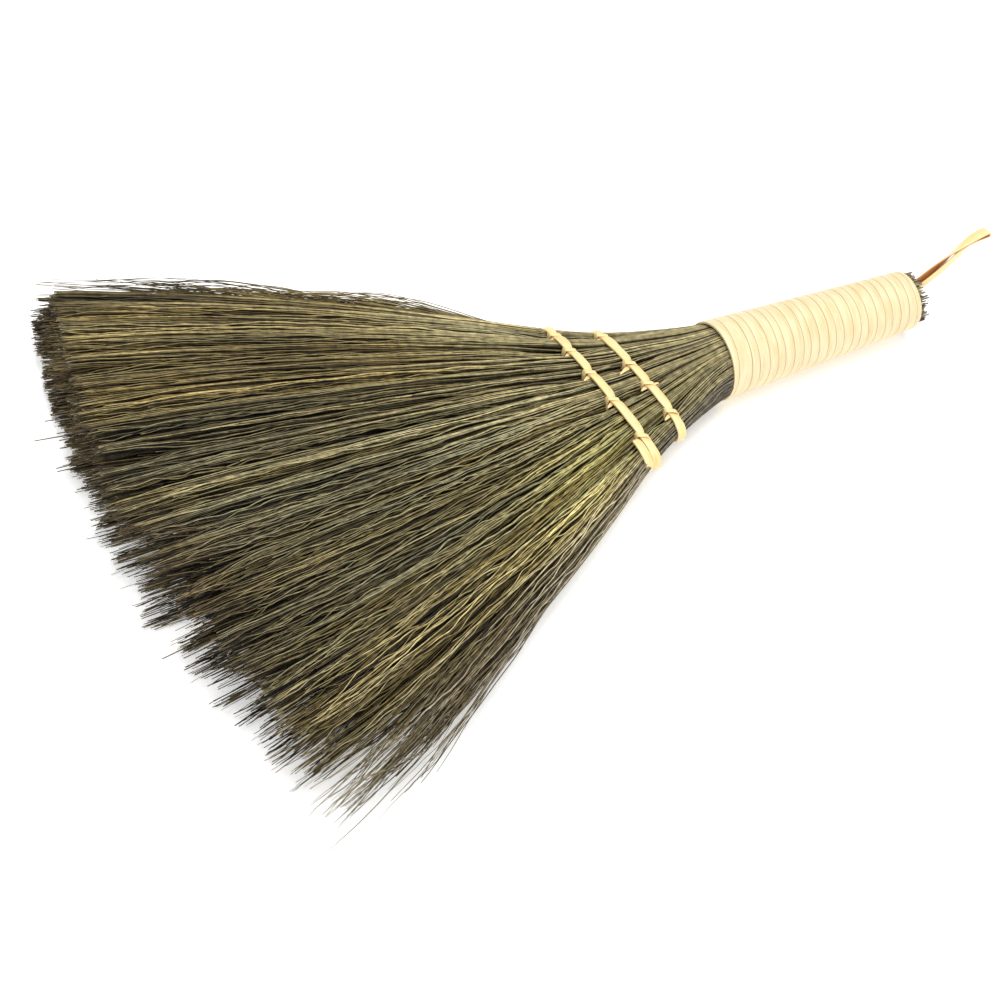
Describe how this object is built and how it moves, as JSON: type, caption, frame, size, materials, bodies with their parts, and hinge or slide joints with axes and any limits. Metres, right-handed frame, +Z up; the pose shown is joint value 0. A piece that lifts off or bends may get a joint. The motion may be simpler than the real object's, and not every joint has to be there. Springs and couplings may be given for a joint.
{
  "type": "hand broom",
  "caption": "Small fan-shaped straw hand broom: bound stalks spread into a stiff flat brush, with stitched binding rows, a strip-wound handle and a hanging loop.",
  "frame": {"origin": "under the middle of the whole broom, on the surface that it lies on", "axes": "+X across the fan, +Y from the brush tips to the hanging loop, +Z up through the thickness"},
  "size_m": [0.204, 0.299, 0.025],
  "materials": {
    "stalk": "dull dried grass stalk",
    "brush_fibre": "dull dried grass fibre, olive to brown",
    "wrap_strip": "satin pale strip",
    "binding_strip": "satin cream strip",
    "loop_strip": "satin cream strip",
    "cord": "twisted natural cord"
  },
  "bodies": {
    "handle": {"stalk_bundle_1": "stalk", "stalk_bundle_2": "stalk", "stalk_bundle_3": "stalk", "stalk_bundle_4": "stalk", "stalk_bundle_5": "stalk", "stalk_bundle_6": "stalk", "front_tie": "cord", "rear_tie": "cord", "handle_wrap": "wrap_strip", "inner_row_band": "binding_strip", "outer_row_band": "binding_strip", "inner_row_stitches": "binding_strip", "outer_row_stitches": "binding_strip", "loop_anchor": "loop_strip"},
    "brush": {"brush_section_1": "brush_fibre", "brush_section_2": "brush_fibre", "brush_section_3": "brush_fibre", "brush_section_4": "brush_fibre", "brush_section_5": "brush_fibre", "brush_section_6": "brush_fibre"},
    "loop": {"hanging_loop": "loop_strip"}
  },
  "joints": [
    {"name": "brush_flex", "type": "hinge", "parent": "handle", "child": "brush", "pos_m": [0, -0.0245, 0.0125], "axis": [1, 0, 0], "range_deg": [-25, 25], "stiffness_Nm_per_rad": 2.5},
    {"name": "loop_swing", "type": "hinge", "parent": "handle", "child": "loop", "pos_m": [0, 0.1224, 0.0125], "axis": [0, 0, 1], "range_deg": [-40, 40], "stiffness_Nm_per_rad": 0.02}
  ]
}
